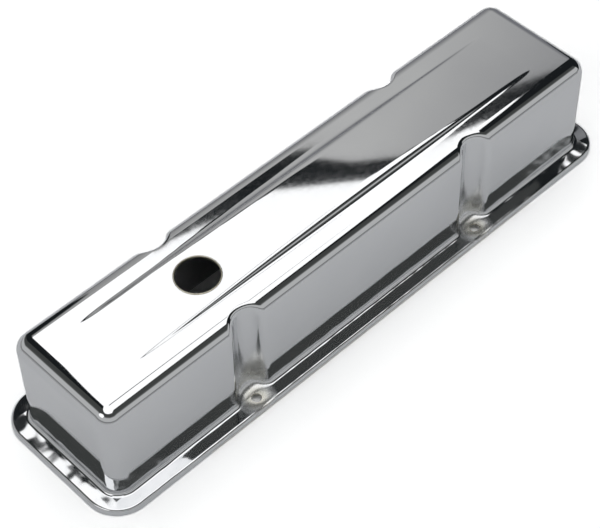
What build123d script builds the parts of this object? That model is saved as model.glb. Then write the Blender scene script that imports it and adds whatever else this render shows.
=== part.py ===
from build123d import *
from math import atan, degrees, radians, sqrt, tan
import os

os.makedirs("parts", exist_ok=True)

# A valve cover deep drawn from one sheet of steel: a long box that stands on a gasket flange with a
# turned down rim. Millimetres, +Z up, X along the cover, the origin under the middle of the rim and
# z = 0 at the rim's lower edge. The sheet lies between two skins, the outer face and the same shape
# moved in by the sheet's thickness.
sheet = 1.1

# The rim: the gasket flange with a lip turned down round its outer edge
rim_length = 457.0
rim_width = 116.2
rim_corner_radius = 24.0
lip_depth = 5.0
lip_bend_radius = 2.2
lip_relief_length = 298.0
lip_relief_depth = 1.3

# The box
flange_width_ends = 12.9
flange_width_sides = 12.1
side_height = 83.5
top_radius = 11.2
foot_radius = 3.0
corner_extra_radius = 0.5

# Four bolts through the flange, each in a scallop that runs the full height of the side wall
bolt_spacing = 204.3
bolt_inset = 9.1
bolt_hole_diameter = 6.8
scallop_radius = 8.0
shoulder_extra_radius = 1.0

# The raised panel of the top, arched along X, with a sharp crease along each side that runs out at
# both ends
panel_height = 3.0
panel_end_margin = 24.4
crease_angle = 45.0
crease_reach = 6.0
crease_margin = 0.7
crease_least_reach = 1.2

# The breather hole, level with the first pair of bolts
breather_diameter = 29.8
breather_edge_break = 0.6

# How finely the panel is drawn: sections along X, and steps away from each crease
panel_stations = 36
crease_steps = (0.45, 0.9, 1.4, 2.0, 2.8, 3.8, 4.9)
ball_steps = 12

box_length = rim_length - 2 * flange_width_ends
box_width = rim_width - 2 * flange_width_sides
corner_radius = top_radius + corner_extra_radius
shoulder_radius = top_radius + shoulder_extra_radius
bolt_x = bolt_spacing / 2
bolt_y = rim_width / 2 - bolt_inset
bolts = [(x, y) for x in (-bolt_x, bolt_x) for y in (-bolt_y, bolt_y)]

# The panel lies on the flat of the top, clear of the scallops and of the rounded ends
crease_y = bolt_y - scallop_radius - top_radius - crease_margin - crease_reach
panel_end = box_length / 2 - top_radius - panel_end_margin
crease_power = 2 * crease_reach * tan(radians(crease_angle)) / panel_height


def box_outline(inset):
    """The box in plan: a rounded rectangle with a round scallop beside each bolt."""
    half_width = box_width / 2 - inset
    plan = RectangleRounded(box_length - 2 * inset, 2 * half_width, corner_radius - inset)
    for x, y in bolts:
        plan -= Pos(x, y) * Circle(scallop_radius + inset)
    shoulders = [
        corner for corner in plan.vertices()
        if abs(abs(corner.Y) - half_width) < 0.001
        and abs(abs(corner.X) - bolt_x) < scallop_radius + inset
    ]
    return fillet(shoulders, shoulder_radius - inset)


def on_box(edge, z):
    """Whether an edge runs round the box at this height, and not round the rim."""
    box = edge.bounding_box()
    level = abs(box.min.Z - z) < 0.001 and abs(box.max.Z - z) < 0.001
    middle = edge.center()
    return level and abs(middle.X) < box_length / 2 + 0.001 and abs(middle.Y) < box_width / 2 + 0.001


def pressing(inset):
    """The flange, its bend and the flat topped box, as a solid below the skin at this inset."""
    flange_z = lip_depth - inset
    below = 2 * inset
    rim = RectangleRounded(
        rim_length - 2 * inset, rim_width - 2 * inset, rim_corner_radius - inset
    )
    base = Pos(0, 0, -below) * extrude(rim, flange_z + below)
    base = fillet(base.faces().sort_by(Axis.Z)[-1].edges(), lip_bend_radius - inset)
    box = extrude(box_outline(inset), side_height - inset)
    box = fillet(box.faces().sort_by(Axis.Z)[-1].edges(), top_radius - inset)
    body = base + box
    foot = [edge for edge in body.edges() if on_box(edge, flange_z)]
    return fillet(foot, foot_radius + inset)


def panel_rise(x):
    """How far the panel stands above the box's edges at this place along the cover."""
    return panel_height * max(0.0, 1 - (x / panel_end) ** 2) ** 1.5


def crease_height(offset, rise):
    """The outer face across one crease: steepest at the crease, flat at its reach."""
    reach = max(crease_reach * rise / panel_height, crease_least_reach)
    share = min(1.0, abs(offset) / reach)
    fall = (1 - (1 - share) ** crease_power) / 2
    return rise * (0.5 - fall if offset > 0 else 0.5 + fall)


def crease_skin(offset, rise, inset):
    """The skin across one crease, lowered by a ball of the inset's radius that rolls inside it."""
    if inset == 0:
        return crease_height(offset, rise)
    touches = [inset * step / ball_steps for step in range(-ball_steps, ball_steps + 1)]
    return min(
        crease_height(offset + touch, rise) - sqrt(inset ** 2 - touch ** 2) for touch in touches
    )


def panel_face(inset):
    """The raised panel with its creases, lofted through sections along the cover."""
    steps = (0,) + crease_steps + (crease_reach,)
    offsets = [-step for step in reversed(steps[1:])] + list(steps)
    right = [crease_y + offset for offset in offsets]
    places = [-y for y in reversed(right)] + [0] + right
    width = places[-1] - places[0]
    parameters = [(y - places[0]) / width for y in places]
    sections = []
    for station in range(panel_stations + 1):
        x = panel_end * (2 * station / panel_stations - 1)
        rise = panel_rise(x)
        skin = [
            Vector(x, y, side_height + crease_skin(abs(y) - crease_y, rise, inset)) for y in places
        ]
        low_right = skin[-1] - Vector(0, 0, panel_height)
        low_left = skin[0] - Vector(0, 0, panel_height)
        sections.append(Wire([
            Edge.make_spline(skin, parameters=parameters),
            Edge.make_line(skin[-1], low_right),
            Edge.make_line(low_right, low_left),
            Edge.make_line(low_left, skin[0]),
        ]))
    return Solid.make_loft(sections).faces().sort_by(Axis.Z)[-1]


def drawn_solid(inset):
    """Everything below the skin at this inset, with the panel let into the top."""
    body = pressing(inset)
    top = body.faces().sort_by(Axis.Z)[-1]
    others = [face for face in body.faces() if not face.is_same(top)]
    panel = panel_face(inset)
    surround = Face(top.outer_wire(), [Wire(panel.edges())])
    return Solid(Shell(others + [surround, panel]))


def lip_relief(side):
    """What is cut from the lip along one side, to leave it shallower there."""
    cut = Box(lip_relief_length, 4 * sheet, 2 * lip_relief_depth)
    return Pos(0, side * rim_width / 2, 0) * cut


def breather_cut():
    """The upright breather hole, with its upper edge broken evenly along the arched panel."""
    radius = breather_diameter / 2
    climb = panel_rise(radius - bolt_x) - panel_rise(-radius - bolt_x)
    slope = degrees(atan(climb / breather_diameter))
    reach = 2 * breather_edge_break
    hole = Cylinder(radius, 8 * sheet)
    flare = Pos(0, 0, -breather_edge_break) * Cone(radius - reach, radius + reach, 2 * reach)
    return Pos(-bolt_x, 0, side_height + panel_rise(-bolt_x)) * (hole + Rot(0, -slope, 0) * flare)


def valve_cover():
    body = drawn_solid(0) - drawn_solid(sheet)
    for side in (-1, 1):
        body -= lip_relief(side)
    for x, y in bolts:
        body -= Pos(x, y, lip_depth) * Cylinder(bolt_hole_diameter / 2, 4 * sheet)
    return body - breather_cut()


cover = valve_cover()
cover.label = "valve_cover"
export_step(cover, "parts/valve_cover.step")
print("valve_cover", len(cover.solids()), "solid,", round(cover.volume / 1000, 2), "cm3")
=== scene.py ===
# Chrome plated engine valve cover: a polished pressing on a pale table, among a few large studio cards.
import math

import bmesh
import bpy
from mathutils import Matrix, Vector


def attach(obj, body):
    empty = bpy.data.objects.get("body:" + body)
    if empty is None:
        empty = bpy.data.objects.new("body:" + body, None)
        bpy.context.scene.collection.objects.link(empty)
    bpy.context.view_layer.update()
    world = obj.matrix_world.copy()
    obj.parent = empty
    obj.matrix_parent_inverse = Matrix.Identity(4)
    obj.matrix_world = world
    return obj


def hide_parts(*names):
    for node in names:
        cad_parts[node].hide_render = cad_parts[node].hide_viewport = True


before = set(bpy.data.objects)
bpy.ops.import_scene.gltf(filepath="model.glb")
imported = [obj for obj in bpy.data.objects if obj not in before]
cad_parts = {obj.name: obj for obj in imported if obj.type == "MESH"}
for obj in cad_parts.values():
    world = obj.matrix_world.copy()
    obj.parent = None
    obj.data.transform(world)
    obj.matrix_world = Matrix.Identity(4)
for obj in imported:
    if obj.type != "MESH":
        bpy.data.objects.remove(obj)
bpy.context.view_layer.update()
scene = bpy.context.scene
mm = 0.001

print("camera")

# Millimetres and degrees, and metres for how far it sees
view = {
    "target": (64.38, 86.73, -116.57),
    "distance": 1402.75,
    "azimuth": -42.833,
    "elevation": 49.855,
    "roll": -1.513,
    "lens": 110.7,
    "sensor": 36.0,
    "sees": 100.0,
}


def addCamera():
    turn = Matrix.Rotation(math.radians(view["azimuth"]), 4, "Z")
    turn = turn @ Matrix.Rotation(math.radians(90 - view["elevation"]), 4, "X")
    turn = turn @ Matrix.Rotation(math.radians(view["roll"]), 4, "Z")
    away = Matrix.Translation((0, 0, view["distance"] * mm))
    camera = bpy.data.objects.new("camera", bpy.data.cameras.new("camera"))
    camera.data.lens = view["lens"]
    camera.data.sensor_width = view["sensor"]
    camera.data.clip_end = view["sees"]
    camera.matrix_world = Matrix.Translation(Vector(view["target"]) * mm) @ turn @ away
    scene.collection.objects.link(camera)
    scene.camera = camera


addCamera()

print("cover: the pressed shell")

# Millimetres. The shell is two skins, the outer and the inner, sewn together along the lip and the holes. Each point's
# normal is worked out from the shape and not from the faces, because a mirror shows the least error in it.
cover = {
    "sheet": 1.1,
    "rimLength": 457.0,
    "rimWidth": 116.2,
    "rimCorner": 24.0,
    "lipDepth": 5.0,
    "lipBend": 2.2,
    "reliefLength": 298.0,  # the lip's edge is a little higher along the middle of both long sides
    "reliefDepth": 1.3,
    "boxLength": 431.2,
    "boxWidth": 92.0,
    "boxCorner": 11.7,
    "sideHeight": 83.5,
    "topRadius": 11.2,
    "footRadius": 3.0,
    "footSpread": 14.0,  # how far from a bolt, along X, the foot starts to widen
    "boltX": 102.15,
    "boltY": 49.0,
    "boltHole": 3.4,
    "scallop": 12.0,  # radius round the bolt
    "scallopEdge": 3.5,
    "scallopFoot": 7.5,
    "scallopSpan": 20.0,  # how far it is followed along X
    "panelHeight": 3.0,
    "panelEnd": 180.0,
    "panelFade": 1.5,
    "creaseY": 23.1,
    "creaseReach": 6.0,  # how far it spreads to each side of its line
    "creaseLeastReach": 2.6,
    "creaseAngle": 45.0,
    "breather": 14.5,
    "beadWidth": 1.1,
    "beadHeight": 0.6,
}
# How finely it is drawn, in millimetres or in steps
fine = {
    "arc": 3.75,  # degrees
    "wall": 8.0,
    "scallop": (0, 1, 2, 3, 4, 5, 6, 7, 8, 8.7, 9.3, 9.8, 10.2, 10.6, 11.0, 11.4, 11.8, 12.2, 12.6, 13.0, 13.5, 14.1,
                15.0, 16.5, 18.0, 19.9),  # from its middle
    "panel": 2.5,
    "crease": (0, 0.12, 0.25, 0.4, 0.6, 0.85, 1.15, 1.5, 1.9, 2.4, 3.0, 3.8, 4.8, 6.0),  # from its line
    "middle": (4.3, 8.6, 12.9),  # the rows between the creases
    "bend": 12,
    "top": 24,
    "hole": 48,
    "patch": 17.1,  # the square round the breather hole, from its middle
    "patchRings": 6,
    "search": (25.0, 60.0),  # where a scallop's face can be, along Y
    "searchSteps": 40,
    "searchHair": 0.001,  # the step for a scallop's slopes, and how far from straight a long wall may be
    "searchNudge": 1e-5,  # keeps the search off the level of the flange and of the top
    "hair": 0.01,  # the step for the panel's slopes, and what counts as the same place elsewhere
}
chromeSlot, cutEdgeSlot = 0, 1

shell = bmesh.new()
outward = shell.verts.layers.float_vector.new("outward")


# A side is 1 for the outer skin and -1 for the inner, whose faces and normals point into the hollow
def addPoint(place, normal):
    point = shell.verts.new(Vector(place) * mm)
    point[outward] = Vector(normal).normalized()
    return point


def addFace(points, side, slot=chromeSlot):
    face = shell.faces.new(points if side > 0 else points[::-1])
    face.smooth = True
    face.material_index = slot


def arcPoints(centre, radius, start, end):
    # Places on an arc with the outline's outward normal there
    count = max(2, round(abs(end - start) / fine["arc"]))
    points = []
    for i in range(count + 1):
        angle = math.radians(start + (end - start) * i / count)
        normal = Vector((math.cos(angle), math.sin(angle)))
        points.append((Vector(centre) + normal * radius, normal))
    return points


def fillStraights(points, stops):
    # Adds places along the straight walls between the arcs, and at each stop along X
    filled = []
    for i, (place, normal) in enumerate(points):
        following, nextNormal = points[(i + 1) % len(points)]
        filled.append((place, normal))
        gap = following - place
        if gap.length < fine["wall"] or (normal - nextNormal).length > fine["hair"]:
            continue
        count = math.ceil(gap.length / fine["wall"])
        shares = [step / count for step in range(1, count)]
        for stop in stops:
            if abs(gap.x) > abs(gap.y) and 0 < (stop - place.x) / gap.x < 1:
                shares.append((stop - place.x) / gap.x)
        for share in sorted(shares):
            filled.append((place + gap * share, normal))
    return filled


def withOtherHalf(half):
    return half + [(-place, -normal) for place, normal in half]


def rimOutline():
    x = cover["rimLength"] / 2 - cover["rimCorner"]
    y = cover["rimWidth"] / 2 - cover["rimCorner"]
    half = arcPoints((x, y), cover["rimCorner"], 0, 90)
    half += arcPoints((-x, y), cover["rimCorner"], 90, 180)
    end, hair = cover["reliefLength"] / 2, fine["hair"]
    return fillStraights(withOtherHalf(half), (end - hair, end + hair, -end - hair, -end + hair))


def boxOutline():
    x = cover["boxLength"] / 2 - cover["boxCorner"]
    y = cover["boxWidth"] / 2 - cover["boxCorner"]
    half = arcPoints((x, y), cover["boxCorner"], 0, 90) + arcPoints((-x, y), cover["boxCorner"], 90, 180)
    stops = []
    for boltX in (-cover["boltX"], cover["boltX"]):
        for offset in fine["scallop"]:
            stops += [boltX + offset, boltX - offset] if offset else [boltX]
    return fillStraights(withOtherHalf(half), stops)


def addRing(outline, inset, height, tilt, side):
    # tilt is the angle of the skin's normal above the level
    flat = math.cos(math.radians(tilt)) * side
    up = math.sin(math.radians(tilt)) * side
    ring = []
    for place, normal in outline:
        spot = place - normal * inset
        z = height(place) if callable(height) else height
        ring.append(addPoint((*spot, z), (*(normal * flat), up)))
    return ring


def joinAll(rings, side, slot=chromeSlot):
    for low, high in zip(rings, rings[1:]):
        for i in range(len(low)):
            j = (i + 1) % len(low)
            addFace([low[i], low[j], high[j], high[i]], side, slot)


def loopEdges(loop):
    edges = []
    for i in range(len(loop)):
        pair = (loop[i], loop[(i + 1) % len(loop)])
        edges.append(shell.edges.get(pair) or shell.edges.new(pair))
    return edges


def fillLevel(loops, side):
    edges = [edge for loop in loops for edge in loopEdges(loop)]
    made = bmesh.ops.triangle_fill(shell, use_beauty=True, use_dissolve=False, edges=edges, normal=(0, 0, 1))
    for face in made["geom"]:
        if isinstance(face, bmesh.types.BMFace):
            face.normal_update()
            face.smooth = True
            if face.normal.z * side < 0:
                face.normal_flip()


def lipHeight(place):
    relieved = abs(place.x) < cover["reliefLength"] / 2 and abs(place.y) > cover["rimWidth"] / 2 - fine["hair"]
    return cover["reliefDepth"] if relieved else 0.0


def addRim(outline, inset, side):
    bend = cover["lipBend"] - inset
    start = cover["lipDepth"] - cover["lipBend"]
    rings = [addRing(outline, inset, lipHeight, 0, side)]
    for step in range(fine["bend"] + 1):
        tilt = 90 * step / fine["bend"]
        turn = math.radians(tilt)
        rings.append(addRing(
            outline, cover["lipBend"] - bend * math.cos(turn), start + bend * math.sin(turn), tilt, side
        ))
    joinAll(rings, side)
    return rings[0], rings[-1]


def roundedCorner(a, b, radius):
    # Inside both a and b, with a rounded edge: negative inside, positive outside
    return min(-radius, max(a, b)) + math.hypot(max(radius + a, 0), max(radius + b, 0))


def roundedFoot(a, b, radius):
    # Inside a or b, with a rounded hollow between them
    return max(radius, min(a, b)) - math.hypot(max(radius - a, 0), max(radius - b, 0))


def footRadius(x):
    # Wider where a scallop meets the flange
    near = max(0.0, 1 - abs(abs(x) - cover["boltX"]) / cover["footSpread"])
    return cover["footRadius"] + (cover["scallopFoot"] - cover["footRadius"]) * near * near * (3 - 2 * near)


def outsideBy(x, y, z):
    # How far a place near a long wall is outside the outer face, with the round scallops cut through the top bend
    box = roundedCorner(abs(y) - cover["boxWidth"] / 2, z - cover["sideHeight"], cover["topRadius"])
    intoScallop = cover["scallop"] - math.hypot(abs(x) - cover["boltX"], abs(y) - cover["boltY"])
    body = roundedCorner(box, intoScallop, cover["scallopEdge"])
    return roundedFoot(body, z - cover["lipDepth"], footRadius(x))


def scallopedPlace(x, z, outwards):
    # The outer face at this height beside a scallop, and its normal
    inner, outer = fine["search"]
    for _ in range(fine["searchSteps"]):
        middle = (inner + outer) / 2
        if outsideBy(x, middle, z) < 0:
            inner = middle
        else:
            outer = middle
    y, hair = outwards * inner, fine["searchHair"]
    normal = Vector((
        outsideBy(x + hair, y, z) - outsideBy(x - hair, y, z),
        outsideBy(x, y + hair, z) - outsideBy(x, y - hair, z),
        outsideBy(x, y, z + hair) - outsideBy(x, y, z - hair),
    ))
    return Vector((x, y, z)), normal.normalized()


def onLongWall(normal):
    return abs(normal.y) > 1 - fine["searchHair"]


def wallPlace(place, normal, out, z, tilt, nudge):
    if onLongWall(normal) and abs(abs(place.x) - cover["boltX"]) < cover["scallopSpan"]:
        return scallopedPlace(place.x, z + nudge, normal.y)
    turn = math.radians(tilt)
    return Vector((*(place + normal * out), z)), Vector((*(normal * math.cos(turn)), math.sin(turn)))


def wallRings():
    # The outer face from the flange up to the flat of the top, one ring of places and normals for each height
    outline = boxOutline()
    rings = []
    for step in range(fine["bend"] + 1):
        turn = math.radians(90 * step / fine["bend"])
        ring = []
        for place, normal in outline:
            radius = footRadius(place.x) if onLongWall(normal) else cover["footRadius"]
            z = cover["lipDepth"] + radius * (1 - math.cos(turn))
            out, tilt = radius * (1 - math.sin(turn)), 90 - math.degrees(turn)
            ring.append(wallPlace(place, normal, out, z, tilt, fine["searchNudge"]))
        rings.append(ring)
    radius = cover["topRadius"]
    for step in range(fine["top"] + 1):
        turn = math.radians(90 * step / fine["top"])
        z = cover["sideHeight"] - radius * (1 - math.sin(turn))
        out, tilt = -radius * (1 - math.cos(turn)), math.degrees(turn)
        rings.append([
            wallPlace(place, normal, out, z, tilt, -fine["searchNudge"]) for place, normal in outline
        ])
    return rings


def addWalls(outerRings, inset, side):
    rings = []
    for outerRing in outerRings:
        rings.append([addPoint(place - normal * inset, normal * side) for place, normal in outerRing])
    joinAll(rings, side)
    return rings[0], rings[-1]


def addCircle(centre, radius, z, side):
    circle = []
    for i in range(fine["hole"]):
        angle = math.tau * i / fine["hole"]
        circle.append(addPoint(
            (centre[0] + radius * math.cos(angle), centre[1] + radius * math.sin(angle), z), (0, 0, side)
        ))
    return circle


# The raised panel of the top, arched along X: a crease along each side narrows and runs out at both ends
creasePower = 2 * cover["creaseReach"] * math.tan(math.radians(cover["creaseAngle"])) / cover["panelHeight"]


def panelHeight(x, y):
    rise = cover["panelHeight"] * max(0.0, 1 - (x / cover["panelEnd"]) ** 2) ** cover["panelFade"]
    reach = max(cover["creaseReach"] * rise / cover["panelHeight"], cover["creaseLeastReach"])
    offset = abs(y) - cover["creaseY"]
    share = min(1.0, abs(offset) / reach)
    fall = (1 - (1 - share) ** creasePower) / 2
    return rise * (0.5 - fall if offset > 0 else 0.5 + fall)


def addPanelPoint(x, y, inset, side):
    hair = fine["hair"]
    slopeX = (panelHeight(x + hair, y) - panelHeight(x - hair, y)) / (2 * hair)
    slopeY = (panelHeight(x, y + hair) - panelHeight(x, y - hair)) / (2 * hair)
    normal = Vector((-slopeX, -slopeY, 1)).normalized()
    place = Vector((x, y, cover["sideHeight"] + panelHeight(x, y))) - normal * inset
    return addPoint(place, normal * side)


def evenly(start, end, step):
    count = max(1, round((end - start) / step))
    return [start + (end - start) * i / count for i in range(count + 1)]


def addPanel(inset, side, holeRadius):
    # A grid of places, but for a square round the breather hole, where rings lead from the square in to the circle
    patch, hair = fine["patch"], fine["hair"]
    left, right = -cover["boltX"] - patch, -cover["boltX"] + patch
    across = evenly(-cover["panelEnd"], left, fine["panel"])
    across += evenly(left, right, fine["panel"])[1:]
    across += evenly(right, cover["panelEnd"], fine["panel"])[1:]
    rows = {0.0}
    for offset in fine["crease"]:
        for inward in (-1, 1):
            rows.add(round(cover["creaseY"] + inward * offset, 3))
    rows.update(fine["middle"])
    rows = sorted(rows | {-row for row in rows})
    grid = {}
    for i, x in enumerate(across):
        for j, y in enumerate(rows):
            inPatch = left + hair < x < right - hair and abs(y) < patch - hair
            grid[i, j] = None if inPatch else addPanelPoint(x, y, inset, side)
    first, last = across.index(left), across.index(right)
    bottom, top = rows.index(-patch), rows.index(patch)
    for i in range(len(across) - 1):
        for j in range(len(rows) - 1):
            if first <= i < last and bottom <= j < top:
                continue
            addFace([grid[i, j], grid[i + 1, j], grid[i + 1, j + 1], grid[i, j + 1]], side)
    square = [grid[i, bottom] for i in range(first, last)] + [grid[last, j] for j in range(bottom, top)]
    square += [grid[i, top] for i in range(last, first, -1)] + [grid[first, j] for j in range(top, bottom, -1)]
    squarePlaces = [(across[i], rows[bottom]) for i in range(first, last)]
    squarePlaces += [(across[last], rows[j]) for j in range(bottom, top)]
    squarePlaces += [(across[i], rows[top]) for i in range(last, first, -1)]
    squarePlaces += [(across[first], rows[j]) for j in range(top, bottom, -1)]
    rings = [square]
    for ringStep in range(1, fine["patchRings"] + 1):
        share = ringStep / fine["patchRings"]
        ring = []
        for x, y in squarePlaces:
            away = Vector((x + cover["boltX"], y))
            spot = away.lerp(away.normalized() * holeRadius, share)
            ring.append(addPanelPoint(spot.x - cover["boltX"], spot.y, inset, side))
        rings.append(ring)
    joinAll(rings, side)
    lastColumn, lastRow = len(across) - 1, len(rows) - 1
    border = [grid[i, 0] for i in range(lastColumn)] + [grid[lastColumn, j] for j in range(lastRow)]
    border += [grid[i, lastRow] for i in range(lastColumn, 0, -1)] + [grid[0, j] for j in range(lastRow, 0, -1)]
    return border, rings[-1]


def addBreatherBead(circle):
    # The low rounded bead round the hole, from the panel up and over to the hole's wall
    half = cover["beadWidth"] / 2
    rings = [circle]
    for step in range(1, fine["bend"] + 1):
        turn = math.radians(180 * step / fine["bend"])
        radius = cover["breather"] + half * (1 + math.cos(turn))
        ring = []
        for point in circle:
            away = Vector((point.co.x / mm + cover["boltX"], point.co.y / mm)).normalized()
            z = point.co.z / mm + cover["beadHeight"] * math.sin(turn)
            ring.append(addPoint(
                (away.x * radius - cover["boltX"], away.y * radius, z),
                (*(away * math.cos(turn) / half), math.sin(turn) / cover["beadHeight"]),
            ))
        rings.append(ring)
    joinAll(rings, 1, cutEdgeSlot)
    return rings[-1]


def addSkin(inset, side):
    lip, flangeOuter = addRim(rimOutline(), inset, side)
    flangeInner, ledge = addWalls(walls, inset, side)
    bolts = []
    for x in (-cover["boltX"], cover["boltX"]):
        for y in (-cover["boltY"], cover["boltY"]):
            bolts.append(addCircle((x, y), cover["boltHole"], cover["lipDepth"] - inset, side))
    fillLevel([flangeOuter, flangeInner] + bolts, side)
    outer = side > 0
    border, hole = addPanel(inset, side, cover["breather"] + (cover["beadWidth"] if outer else 0))
    fillLevel([ledge, border], side)
    if outer:
        hole = addBreatherBead(hole)
    return [lip, hole] + bolts


def sewBorder(outerLoop, innerLoop):
    # The cut edge of the sheet, flat across its thickness
    for i in range(len(outerLoop)):
        j = (i + 1) % len(outerLoop)
        face = shell.faces.new([outerLoop[i], innerLoop[i], innerLoop[j], outerLoop[j]])
        face.smooth = False
        face.material_index = cutEdgeSlot


def finishShell(name):
    mesh = bpy.data.meshes.new(name)
    shell.to_mesh(mesh)
    shell.free()
    normals = []
    vertexNormals = [item.vector.copy() for item in mesh.attributes["outward"].data]
    for polygon in mesh.polygons:
        for index in polygon.vertices:
            normals.append(vertexNormals[index] if polygon.use_smooth else (0, 0, 0))
    mesh.normals_split_custom_set(normals)
    mesh.attributes.remove(mesh.attributes["outward"])
    piece = bpy.data.objects.new(name, mesh)
    scene.collection.objects.link(piece)
    return piece


walls = wallRings()
outerBorders = addSkin(0, 1)
innerBorders = addSkin(cover["sheet"], -1)
for outerLoop, innerLoop in zip(outerBorders, innerBorders):
    sewBorder(outerLoop, innerLoop)
coverShell = finishShell("cover_shell")
print("cover: faces", len(coverShell.data.polygons))

print("materials")


def srgb(code):
    # A hex colour as the linear values that the nodes take
    values = [int(code[i:i + 2], 16) / 255 for i in (1, 3, 5)]
    linear = [v / 12.92 if v <= 0.04045 else ((v + 0.055) / 1.055) ** 2.4 for v in values]
    return (*linear, 1.0)


def addNode(tree, kind, settings=None, inputs=None):
    node = tree.nodes.new(kind)
    for name, value in (settings or {}).items():
        setattr(node, name, value)
    for name, value in (inputs or {}).items():
        if isinstance(value, bpy.types.NodeSocket):
            tree.links.new(value, node.inputs[name])
        else:
            node.inputs[name].default_value = value
    return node


def newMaterial(name):
    material = bpy.data.materials.new(name)
    material.use_nodes = True
    material.node_tree.nodes.clear()
    return material


# Lengths in millimetres. A reach is where a mask starts and where it ends.
finish = {
    "chrome": "#E9EAEB",
    "chromeDull": "#E0E1E3",
    "thinPlate": "#E6E4DA",
    "noise": {  # the size and the detail of each
        "wave": (40.0, 0.0),
        "flangeWave": (16.0, 1.0),
        "polish": (3.0, 4.0),  # coarser than real polishing marks, so that it shows
        "patches": (45.0, 2.0),
    },
    "waveDepth": 0.01,
    "flangeWaveDepth": 0.7,
    "flangeReach": (8.0, 24.0),  # up from the table
    "droop": 0.13,  # as a slope
    "endReach": (155.0, 180.0),  # along X
    "polishRange": (0.35, 0.65),
    "polishRoughness": (0.027, 0.036),
    "tintReach": (4.0, 12.0),  # out from a bolt
    "scallopReach": (12.5, 15.0),  # out from a bolt's axis
    "scallopTopReach": (18.0, 75.0),  # up from the table
    "haze": 0.24,
    "flangeHaze": 0.05,
    "cutEdge": "#EFEBDA",
    "cutEdgeDull": "#D2CDBA",
    "cutGrain": 0.5,  # coarser than real shearing marks, so that it shows
    "cutGrainDetail": 3.0,
    "cutGrainDepth": 0.02,
    "cutGrainRange": (0.3, 0.7),
    "cutRoughness": (0.4, 0.55),
}
smoothStep = {"interpolation_type": "SMOOTHSTEP"}
multiply = {"operation": "MULTIPLY"}
multiplyAdd = {"operation": "MULTIPLY_ADD"}
larger = {"operation": "MAXIMUM"}

# Chrome plated pressed steel: a bright, slightly blue mirror. The sheet is faintly wavy, more so on the flange,
# which droops at the ends and round the bolts. The plate is hazy on the flange and low in the scallops, and thin and
# warmer round the bolts.
chrome = newMaterial("chrome_plated_pressed_steel")
tree = chrome.node_tree
place = addNode(tree, "ShaderNodeTexCoord").outputs["Object"]
quarter = addNode(tree, "ShaderNodeVectorMath", {"operation": "ABSOLUTE"}, {0: place}).outputs["Vector"]
split = addNode(tree, "ShaderNodeSeparateXYZ", inputs={0: quarter}).outputs
bolt = (cover["boltX"] * mm, cover["boltY"] * mm, cover["lipDepth"] * mm)
axis = (cover["boltX"] * mm, cover["boltY"] * mm, 0)
fromBolt = addNode(tree, "ShaderNodeVectorMath", {"operation": "DISTANCE"}, {0: quarter, 1: bolt}).outputs["Value"]
level = addNode(tree, "ShaderNodeVectorMath", multiply, {0: quarter, 1: (1, 1, 0)}).outputs["Vector"]
fromAxis = addNode(tree, "ShaderNodeVectorMath", {"operation": "DISTANCE"}, {0: level, 1: axis}).outputs["Value"]

# Each mask's value, and what it gives at the start and at the end of its reach
masks = {}
for name, value, start, end in (
    ("flange", split["Z"], 1.0, 0.0),
    ("tint", fromBolt, 1.0, 0.0),
    ("scallop", fromAxis, 1.0, 0.0),
    ("scallopTop", split["Z"], 1.0, 0.0),
    ("end", split["X"], 0.0, 1.0),
):
    near, far = finish[name + "Reach"]
    masks[name] = addNode(tree, "ShaderNodeMapRange", smoothStep, {
        "Value": value, "From Min": near * mm, "From Max": far * mm, "To Min": start, "To Max": end,
    }).outputs["Result"]
noise = {}
for name, (size, detail) in finish["noise"].items():
    noise[name] = addNode(tree, "ShaderNodeTexNoise", inputs={
        "Vector": place, "Scale": 1 / (size * mm), "Detail": detail,
    }).outputs["Fac"]

# How far a place lies past the box's walls gives the flange's droop
box = (cover["boxLength"] / 2 * mm, cover["boxWidth"] / 2 * mm, 1)
past = addNode(tree, "ShaderNodeVectorMath", {"operation": "SUBTRACT"}, {0: quarter, 1: box}).outputs["Vector"]
past = addNode(tree, "ShaderNodeVectorMath", larger, {0: past, 1: (0, 0, 0)}).outputs["Vector"]
past = addNode(tree, "ShaderNodeVectorMath", {"operation": "LENGTH"}, {0: past}).outputs["Value"]
drooping = addNode(tree, "ShaderNodeMath", larger, {0: masks["end"], 1: masks["tint"]}).outputs[0]
drooping = addNode(tree, "ShaderNodeMath", multiply, {0: past, 1: drooping}).outputs[0]
depth = finish["flangeWaveDepth"] * mm
height = addNode(tree, "ShaderNodeMath", multiplyAdd, {0: noise["flangeWave"], 1: depth, 2: -depth / 2}).outputs[0]
height = addNode(tree, "ShaderNodeMath", multiplyAdd, {0: drooping, 1: -finish["droop"], 2: height}).outputs[0]
height = addNode(tree, "ShaderNodeMath", multiply, {0: height, 1: masks["flange"]}).outputs[0]
normal = addNode(tree, "ShaderNodeBump", inputs={
    "Height": noise["wave"], "Distance": finish["waveDepth"] * mm,
}).outputs["Normal"]
normal = addNode(tree, "ShaderNodeBump", inputs={
    "Height": height, "Distance": 1.0, "Normal": normal,
}).outputs["Normal"]

low, high = finish["polishRange"]
smoothest, roughest = finish["polishRoughness"]
roughness = addNode(tree, "ShaderNodeMapRange", smoothStep, {
    "Value": noise["polish"], "From Min": low, "From Max": high, "To Min": smoothest, "To Max": roughest,
}).outputs["Result"]
haze = addNode(tree, "ShaderNodeMath", multiply, {0: masks["scallop"], 1: masks["scallopTop"]}).outputs[0]
haze = addNode(tree, "ShaderNodeMath", multiply, {0: haze, 1: finish["haze"]}).outputs[0]
flangeHaze = addNode(tree, "ShaderNodeMath", multiply, {0: masks["flange"], 1: finish["flangeHaze"]}).outputs[0]
haze = addNode(tree, "ShaderNodeMath", larger, {0: haze, 1: flangeHaze}).outputs[0]
roughness = addNode(tree, "ShaderNodeMath", {"operation": "ADD"}, {0: roughness, 1: haze}).outputs[0]

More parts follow.
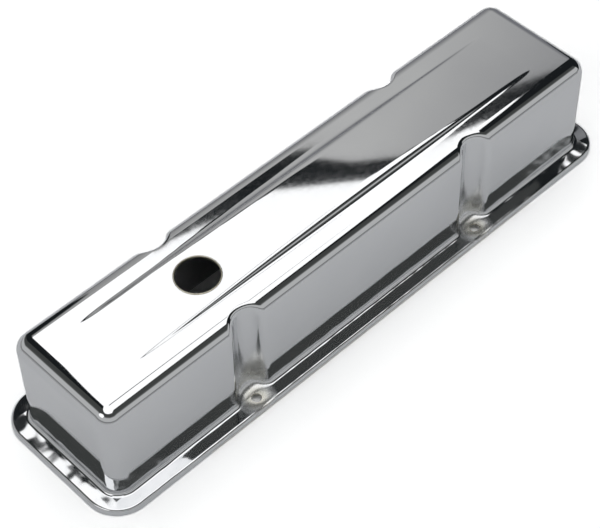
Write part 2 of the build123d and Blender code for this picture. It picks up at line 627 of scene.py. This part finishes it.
# A colour mix takes its share at socket 0, its colours at 6 and 7, and gives the result at 2
colour = addNode(tree, "ShaderNodeMix", {"data_type": "RGBA"}, {
    0: noise["patches"], 6: srgb(finish["chrome"]), 7: srgb(finish["chromeDull"]),
}).outputs[2]
colour = addNode(tree, "ShaderNodeMix", {"data_type": "RGBA"}, {
    0: masks["tint"], 6: colour, 7: srgb(finish["thinPlate"]),
}).outputs[2]
shader = addNode(tree, "ShaderNodeBsdfPrincipled", inputs={
    "Base Color": colour, "Metallic": 1.0, "Roughness": roughness, "Normal": normal,
})
addNode(tree, "ShaderNodeOutputMaterial", inputs={"Surface": shader.outputs["BSDF"]})
coverShell.data.materials.append(chrome)

# Cut steel edge: satin, slightly yellow, with a fine sheared grain
cutEdge = newMaterial("satin_steel_cut_edge")
tree = cutEdge.node_tree
place = addNode(tree, "ShaderNodeTexCoord").outputs["Object"]
grain = addNode(tree, "ShaderNodeTexNoise", inputs={
    "Vector": place, "Scale": 1 / (finish["cutGrain"] * mm), "Detail": finish["cutGrainDetail"],
}).outputs["Fac"]
colour = addNode(tree, "ShaderNodeMix", {"data_type": "RGBA"}, {
    0: grain, 6: srgb(finish["cutEdgeDull"]), 7: srgb(finish["cutEdge"]),
}).outputs[2]
low, high = finish["cutGrainRange"]
smoothest, roughest = finish["cutRoughness"]
roughness = addNode(tree, "ShaderNodeMapRange", smoothStep, {
    "Value": grain, "From Min": low, "From Max": high, "To Min": smoothest, "To Max": roughest,
}).outputs["Result"]
normal = addNode(tree, "ShaderNodeBump", inputs={
    "Height": grain, "Distance": finish["cutGrainDepth"] * mm,
}).outputs["Normal"]
shader = addNode(tree, "ShaderNodeBsdfPrincipled", inputs={
    "Base Color": colour, "Metallic": 1.0, "Roughness": roughness, "Normal": normal,
})
addNode(tree, "ShaderNodeOutputMaterial", inputs={"Surface": shader.outputs["BSDF"]})
coverShell.data.materials.append(cutEdge)
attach(coverShell, "root")
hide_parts("valve_cover")

print("studio")

scene.view_settings.view_transform = "Standard"

# The cards stand far off, so that their reflections lie still. An overhead corner is given as how far it leans
# from straight up along X and along Y, and the wall's places as degrees round from +X and degrees up.
studio = {
    "distance": 30.0,
    "tableHalf": 4.5,
    "tableGrey": "#F2F3F5",
    "tableGain": 1.9,
    "roomDark": "#1C1F21",
    "roomWhite": "#FFFFFF",
    "lampStrength": 1.5,
    "lampAngle": 80.0,
}


def glow(name, strength):
    # A card's light: its own strength times the shade painted at its corners
    material = newMaterial(name)
    shade = addNode(material.node_tree, "ShaderNodeAttribute", {"attribute_name": "shade"})
    emission = addNode(material.node_tree, "ShaderNodeEmission", inputs={
        "Color": shade.outputs["Color"], "Strength": strength,
    })
    addNode(material.node_tree, "ShaderNodeOutputMaterial", inputs={"Surface": emission.outputs["Emission"]})
    return material


def addStage(name, corners, faces, material):
    mesh = bpy.data.meshes.new(name)
    mesh.from_pydata(corners, [], faces)
    mesh.materials.append(material)
    card = bpy.data.objects.new(name, mesh)
    scene.collection.objects.link(card)
    return card


def addCard(name, directions, shades, faces, strength=1.0, nearer=1.0):
    corners = [Vector(direction).normalized() * studio["distance"] * nearer for direction in directions]
    card = addStage(name, corners, faces, glow(name + "_light", strength))
    card.visible_camera = False
    layer = card.data.color_attributes.new("shade", "FLOAT_COLOR", "POINT")
    for i, shade in enumerate(shades):
        layer.data[i].color = srgb(shade)


def addOverhead(name, corners, shades, strength=1.0, nearer=1.0):
    directions = [(x, y, 1.0) for x, y in corners]
    addCard(name, directions, shades, [list(range(len(corners)))], strength, nearer)


# The main softbox overhead, with a thin dark boom across it, and a smaller softbox to the left
softbox = {
    "strength": 1.3,
    "shade": "#FFFFFF",
    "main": [
        (0.40, 0.742), (0.80, 0.605), (0.745, 0.40), (0.69, 0.21), (0.58, -0.05), (0.48, -0.20), (0.40, -0.31),
        (0.30, -0.45), (0.0, -0.66), (-0.30, -0.50), (-0.52, -0.21), (-0.59, 0.0), (-0.50, 0.22), (-0.34, 0.36),
        (0.0, 0.585), (0.17, 0.615), (0.31, 0.645),
    ],
    "left": [
        (-0.96, 0.555), (-1.53, 0.81), (-1.955, 0.17), (-1.546, -0.414), (-0.97, -0.45), (-0.836, -0.073),
        (-0.87, 0.233),
    ],
    "boom": [(0.33, 0.39), (0.56, 0.36), (0.56, 0.345), (0.33, 0.29)],
    "boomShade": "#303030",
    "boomNearer": 0.5,
}
for name in ("main", "left"):
    corners = softbox[name]
    addOverhead("softbox_" + name, corners, [softbox["shade"]] * len(corners), softbox["strength"])
shades = [softbox["boomShade"]] * len(softbox["boom"])
addOverhead("boom", softbox["boom"], shades, nearer=softbox["boomNearer"])

# The grey backdrop behind and to the right: its corners, each with its shade
backdrop = [
    ((0.38, 0.87), "#ABABAA"), ((0.695, 0.668), "#C2C2C1"), ((0.80, 0.635), "#BCBCBC"), ((0.95, 0.585), "#87888A"),
    ((1.25, 0.62), "#7C7D80"), ((1.9, 0.95), "#7A7B7F"), ((22.0, 10.7), "#7E7F84"), ((12.0, 20.0), "#808186"),
    ((3.76, 10.8), "#939496"), ((1.29, 3.5), "#989898"), ((0.676, 1.595), "#989898"),
]
addOverhead("backdrop", [corner for corner, shade in backdrop], [shade for corner, shade in backdrop])

# The room's pale wall on the other sides, a glowing card whose shades are painted light. The shades go up it: a darker
# band low down, the plain wall, and dark above it.
roomWall = {
    "bottom": -1.5,
    "tops": [  # degrees round, and degrees up to the top of the plain wall
        (80, 6), (95, 18), (110, 28), (130, 36), (145, 38), (165, 41), (185, 42), (210, 41), (240, 39),
        (270, 38), (292, 37.5), (305, 39), (318, 36), (330, 30),
    ],
    "shades": [  # the share of that height, and the shade there
        (0.0, "#B0B1B2"), (0.18, "#A8A9AA"), (0.23, "#707172"), (0.31, "#707172"), (0.37, "#BDBEBE"),
        (0.86, "#BFC0C0"), (1.02, "#525352"), (1.2, "#464847"), (1.75, "#444544"),
    ],
}


def addWall():
    bottom, tops, wallShades = roomWall["bottom"], roomWall["tops"], roomWall["shades"]
    directions, shades, faces = [], [], []
    for turn, top in tops:
        around = math.radians(turn)
        for share, shade in wallShades:
            up = math.radians(bottom + (top - bottom) * share)
            directions.append((math.cos(around) * math.cos(up), math.sin(around) * math.cos(up), math.sin(up)))
            shades.append(shade)
    rows = len(wallShades)
    for i in range(len(tops) - 1):
        for j in range(rows - 1):
            start = i * rows + j
            faces.append([start, start + rows, start + rows + 1, start + 1])
    addCard("wall", directions, shades, faces)


addWall()

# A broad soft lamp that lights the table and doesn't show in the metal
lamp = bpy.data.objects.new("lamp", bpy.data.lights.new("lamp", "SUN"))
lamp.data.energy = studio["lampStrength"]
lamp.data.angle = math.radians(studio["lampAngle"])
lamp.visible_glossy = False
scene.collection.objects.link(lamp)

# The table is matt and pale. The camera sees it brighter, so that it's white outside the cover's shadow.
table = newMaterial("table_top")
tree = table.node_tree
path = addNode(tree, "ShaderNodeLightPath")
plain = addNode(tree, "ShaderNodeBsdfDiffuse", inputs={"Color": srgb(studio["tableGrey"])})
gain = studio["tableGain"]
bright = addNode(tree, "ShaderNodeBsdfDiffuse", inputs={"Color": (gain, gain, gain, 1.0)})
mix = addNode(tree, "ShaderNodeMixShader", inputs={
    0: path.outputs["Is Camera Ray"], 1: plain.outputs["BSDF"], 2: bright.outputs["BSDF"],
})
addNode(tree, "ShaderNodeOutputMaterial", inputs={"Surface": mix.outputs["Shader"]})
half = studio["tableHalf"]
addStage("table", [(-half, -half, 0), (half, -half, 0), (half, half, 0), (-half, half, 0)], [[0, 1, 2, 3]], table)

# The rest of the room is dark, and white where the camera looks straight at it
world = bpy.data.worlds.new("studio")
scene.world = world
world.use_nodes = True
tree = world.node_tree
tree.nodes.clear()
path = addNode(tree, "ShaderNodeLightPath")
room = addNode(tree, "ShaderNodeBackground", inputs={"Color": srgb(studio["roomDark"]), "Strength": 1.0})
white = addNode(tree, "ShaderNodeBackground", inputs={"Color": srgb(studio["roomWhite"]), "Strength": 1.0})
mix = addNode(tree, "ShaderNodeMixShader", inputs={
    0: path.outputs["Is Camera Ray"], 1: room.outputs["Background"], 2: white.outputs["Background"],
})
addNode(tree, "ShaderNodeOutputWorld", inputs={"Surface": mix.outputs["Shader"]})
